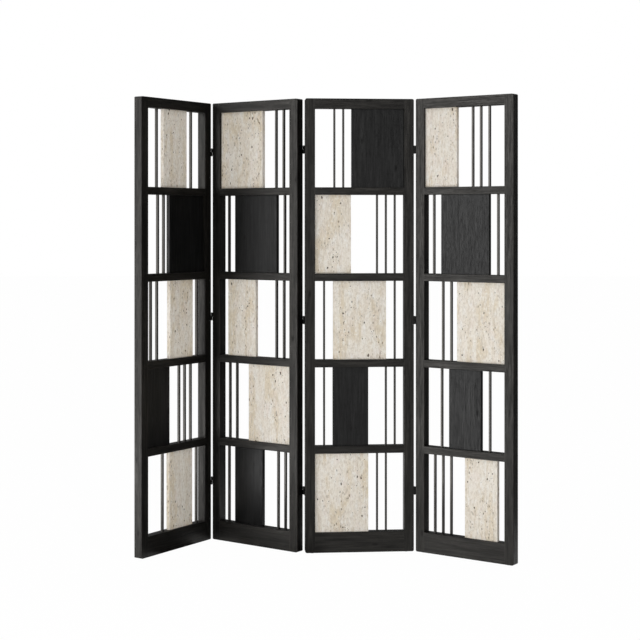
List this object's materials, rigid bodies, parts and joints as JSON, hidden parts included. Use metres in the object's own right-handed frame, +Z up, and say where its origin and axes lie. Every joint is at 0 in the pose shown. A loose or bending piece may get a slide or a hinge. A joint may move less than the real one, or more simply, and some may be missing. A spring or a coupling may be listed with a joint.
{
  "type": "folding screen",
  "caption": "Free-standing folding screen: black oak frames hinged in a zigzag, with open bays that hold travertine slabs, oak boards and slim upright metal bars.",
  "frame": {"origin": "middle of the footprint of the screen as it stands, on the floor under the glides", "axes": "+X to the right seen from the front, +Y away from the front, +Z up"},
  "size_m": [1.4798, 0.5008, 1.8],
  "materials": {
    "black_oak": "black-stained oak, open grain, matt",
    "travertine": "honed travertine, unfilled, vein cut",
    "dark_bronze": "dark bronze, satin",
    "black_steel": "black, satin",
    "glide_plastic": "black, matt"
  },
  "bodies": {
    "panel_1": {"panel_1_left_stile": "black_oak", "panel_1_right_stile": "black_oak", "panel_1_top_rail": "black_oak", "panel_1_middle_rails": "black_oak", "panel_1_bottom_rail": "black_oak", "panel_1_bay_1_stone_slab": "travertine", "panel_1_bay_2_oak_board": "black_oak", "panel_1_bay_3_stone_slab": "travertine", "panel_1_bay_4_oak_board": "black_oak", "panel_1_bay_5_stone_slab": "travertine", "panel_1_bars": "dark_bronze", "panel_1_glides": "glide_plastic", "seam_1_2_left_hinge_leaves": "black_steel", "seam_1_2_hinge_pins": "black_steel"},
    "panel_2": {"panel_2_left_stile": "black_oak", "panel_2_right_stile": "black_oak", "panel_2_top_rail": "black_oak", "panel_2_middle_rails": "black_oak", "panel_2_bottom_rail": "black_oak", "panel_2_bay_1_stone_slab": "travertine", "panel_2_bay_2_oak_board": "black_oak", "panel_2_bay_3_stone_slab": "travertine", "panel_2_bay_4_stone_slab": "travertine", "panel_2_bay_5_oak_board": "black_oak", "panel_2_bars": "dark_bronze", "panel_2_glides": "glide_plastic", "seam_1_2_right_hinge_leaves": "black_steel", "seam_2_3_left_hinge_leaves": "black_steel", "seam_2_3_hinge_pins": "black_steel"},
    "panel_3": {"panel_3_left_stile": "black_oak", "panel_3_right_stile": "black_oak", "panel_3_top_rail": "black_oak", "panel_3_middle_rails": "black_oak", "panel_3_bottom_rail": "black_oak", "panel_3_bay_1_oak_board": "black_oak", "panel_3_bay_2_stone_slab": "travertine", "panel_3_bay_3_stone_slab": "travertine", "panel_3_bay_4_oak_board": "black_oak", "panel_3_bay_5_stone_slab": "travertine", "panel_3_bars": "dark_bronze", "panel_3_glides": "glide_plastic", "seam_2_3_right_hinge_leaves": "black_steel", "seam_3_4_left_hinge_leaves": "black_steel", "seam_3_4_hinge_pins": "black_steel"},
    "panel_4": {"panel_4_left_stile": "black_oak", "panel_4_right_stile": "black_oak", "panel_4_top_rail": "black_oak", "panel_4_middle_rails": "black_oak", "panel_4_bottom_rail": "black_oak", "panel_4_bay_1_stone_slab": "travertine", "panel_4_bay_2_oak_board": "black_oak", "panel_4_bay_3_stone_slab": "travertine", "panel_4_bay_4_oak_board": "black_oak", "panel_4_bay_5_stone_slab": "travertine", "panel_4_bars": "dark_bronze", "panel_4_glides": "glide_plastic", "seam_3_4_right_hinge_leaves": "black_steel"}
  },
  "joints": [
    {"name": "fold_1_2", "type": "hinge", "parent": "panel_2", "child": "panel_1", "pos_m": [-0.46396, 0.22161, 0.9215], "axis": [0, 0, 1], "range_deg": [-91.1, 88.9]},
    {"name": "fold_2_3", "type": "hinge", "parent": "panel_2", "child": "panel_3", "pos_m": [-0.08194, -0.00015, 0.9215], "axis": [0, 0, 1], "range_deg": [-39.9, 140.1]},
    {"name": "fold_3_4", "type": "hinge", "parent": "panel_3", "child": "panel_4", "pos_m": [0.35978, -0.00297, 0.9215], "axis": [0, 0, -1], "range_deg": [-39.4, 140.6]}
  ]
}
